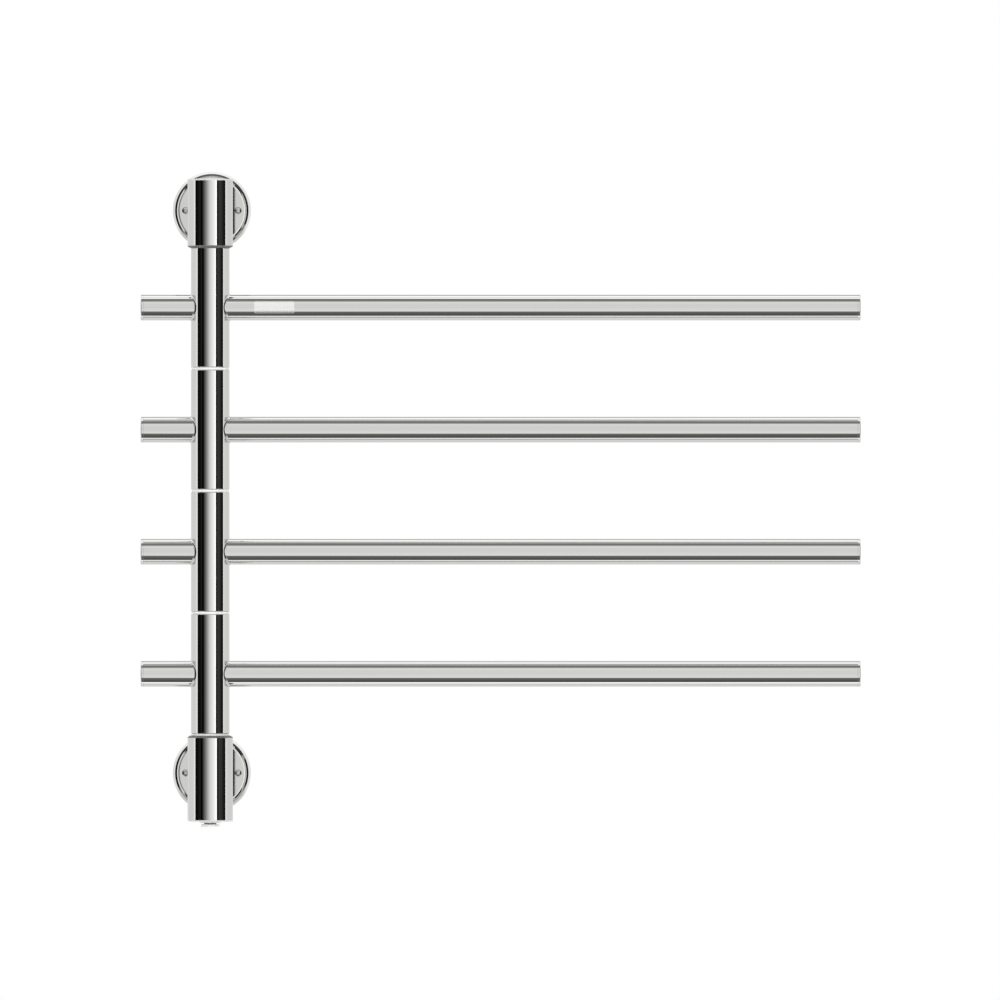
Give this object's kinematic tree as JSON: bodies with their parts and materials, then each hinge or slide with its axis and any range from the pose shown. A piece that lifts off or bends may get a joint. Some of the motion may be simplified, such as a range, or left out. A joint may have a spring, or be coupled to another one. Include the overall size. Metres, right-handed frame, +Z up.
{
  "type": "electric heated towel rail",
  "caption": "Wall-hung chrome heated towel rail whose horizontal bars swing on an upright column between two round wall plates, with a push switch under the column.",
  "frame": {"origin": "on the wall, midway between the two wall plates, behind the column", "axes": "+X along the bars towards their long ends, +Y into the wall, +Z up"},
  "size_m": [0.56, 0.1226, 0.5114],
  "materials": {
    "chrome": "polished chrome plate on steel tube",
    "washer_nylon": "moulded white nylon",
    "button_plastic": "moulded pale translucent plastic",
    "lid_plastic": "moulded silver-grey plastic",
    "core_steel": "zinc-plated steel",
    "screw_steel": "stainless steel",
    "spring_steel": "spring steel wire",
    "anchor_aluminium": "turned aluminium",
    "bush_nylon": "moulded natural nylon",
    "block_nylon": "moulded white nylon",
    "splice_nylon": "moulded nylon",
    "silicone_cord": "silicone-jacketed heating cord",
    "lead_sheath": "black silicone sheath",
    "earth_sheath": "green insulated wire",
    "earth_brass": "turned brass",
    "grommet_rubber": "moulded black rubber",
    "seal_rubber": "moulded grey rubber",
    "switch_plastic": "moulded black plastic",
    "lamp_plastic": "clear red lamp",
    "collar_red": "translucent dark red acrylic",
    "plate_vinyl": "blank silver-white foil"
  },
  "bodies": {
    "wall_frame": {"core_tube": "core_steel", "stop_pins": "core_steel", "thrust_washers": "washer_nylon", "top_wall_plate": "chrome", "top_neck": "chrome", "top_housing": "chrome", "top_lid": "lid_plastic", "bottom_wall_plate": "chrome", "bottom_neck": "chrome", "bottom_housing": "chrome", "bottom_lid": "lid_plastic", "top_anchor": "anchor_aluminium", "bottom_anchor": "anchor_aluminium", "mouth_seals": "seal_rubber", "set_screws": "screw_steel", "wall_screws": "screw_steel", "supply_grommet": "grommet_rubber", "terminal_block": "block_nylon", "terminal_screws": "screw_steel", "trunk_cable": "lead_sheath", "splices": "splice_nylon", "switch_wires": "lead_sheath", "earth_post": "earth_brass", "earth_wire": "earth_sheath", "switch_body": "switch_plastic", "switch_bezel": "button_plastic", "return_spring": "spring_steel", "indicator_lamp": "lamp_plastic"},
    "arm_1": {"arm_1_hub": "chrome", "arm_1_bar": "chrome", "arm_1_stub": "chrome", "arm_1_end_caps": "chrome", "arm_1_bushes": "bush_nylon", "arm_1_heating_cord": "silicone_cord", "arm_1_lead": "lead_sheath", "arm_1_blank_plate": "plate_vinyl"},
    "arm_2": {"arm_2_hub": "chrome", "arm_2_bar": "chrome", "arm_2_stub": "chrome", "arm_2_end_caps": "chrome", "arm_2_bushes": "bush_nylon", "arm_2_heating_cord": "silicone_cord", "arm_2_lead": "lead_sheath"},
    "arm_3": {"arm_3_hub": "chrome", "arm_3_bar": "chrome", "arm_3_stub": "chrome", "arm_3_end_caps": "chrome", "arm_3_bushes": "bush_nylon", "arm_3_heating_cord": "silicone_cord", "arm_3_lead": "lead_sheath"},
    "arm_4": {"arm_4_hub": "chrome", "arm_4_bar": "chrome", "arm_4_stub": "chrome", "arm_4_end_caps": "chrome", "arm_4_bushes": "bush_nylon", "arm_4_heating_cord": "silicone_cord", "arm_4_lead": "lead_sheath"},
    "button": {"switch_button": "button_plastic", "button_collar": "collar_red"}
  },
  "joints": [
    {"name": "arm_1_swing", "type": "hinge", "parent": "wall_frame", "child": "arm_1", "pos_m": [0, -0.075, 0.1433], "axis": [0, 0, -1], "range_deg": [0, 180]},
    {"name": "arm_2_swing", "type": "hinge", "parent": "wall_frame", "child": "arm_2", "pos_m": [0, -0.075, 0.0483], "axis": [0, 0, -1], "range_deg": [0, 180]},
    {"name": "arm_3_swing", "type": "hinge", "parent": "wall_frame", "child": "arm_3", "pos_m": [0, -0.075, -0.0467], "axis": [0, 0, -1], "range_deg": [0, 180]},
    {"name": "arm_4_swing", "type": "hinge", "parent": "wall_frame", "child": "arm_4", "pos_m": [0, -0.075, -0.1417], "axis": [0, 0, -1], "range_deg": [0, 180]},
    {"name": "button_press", "type": "slide", "parent": "wall_frame", "child": "button", "axis": [0, 0, 1], "range_m": [0, 0.0005], "stiffness_N_per_m": 900, "springref_m": -0.001, "deforming": ["return_spring"]}
  ]
}
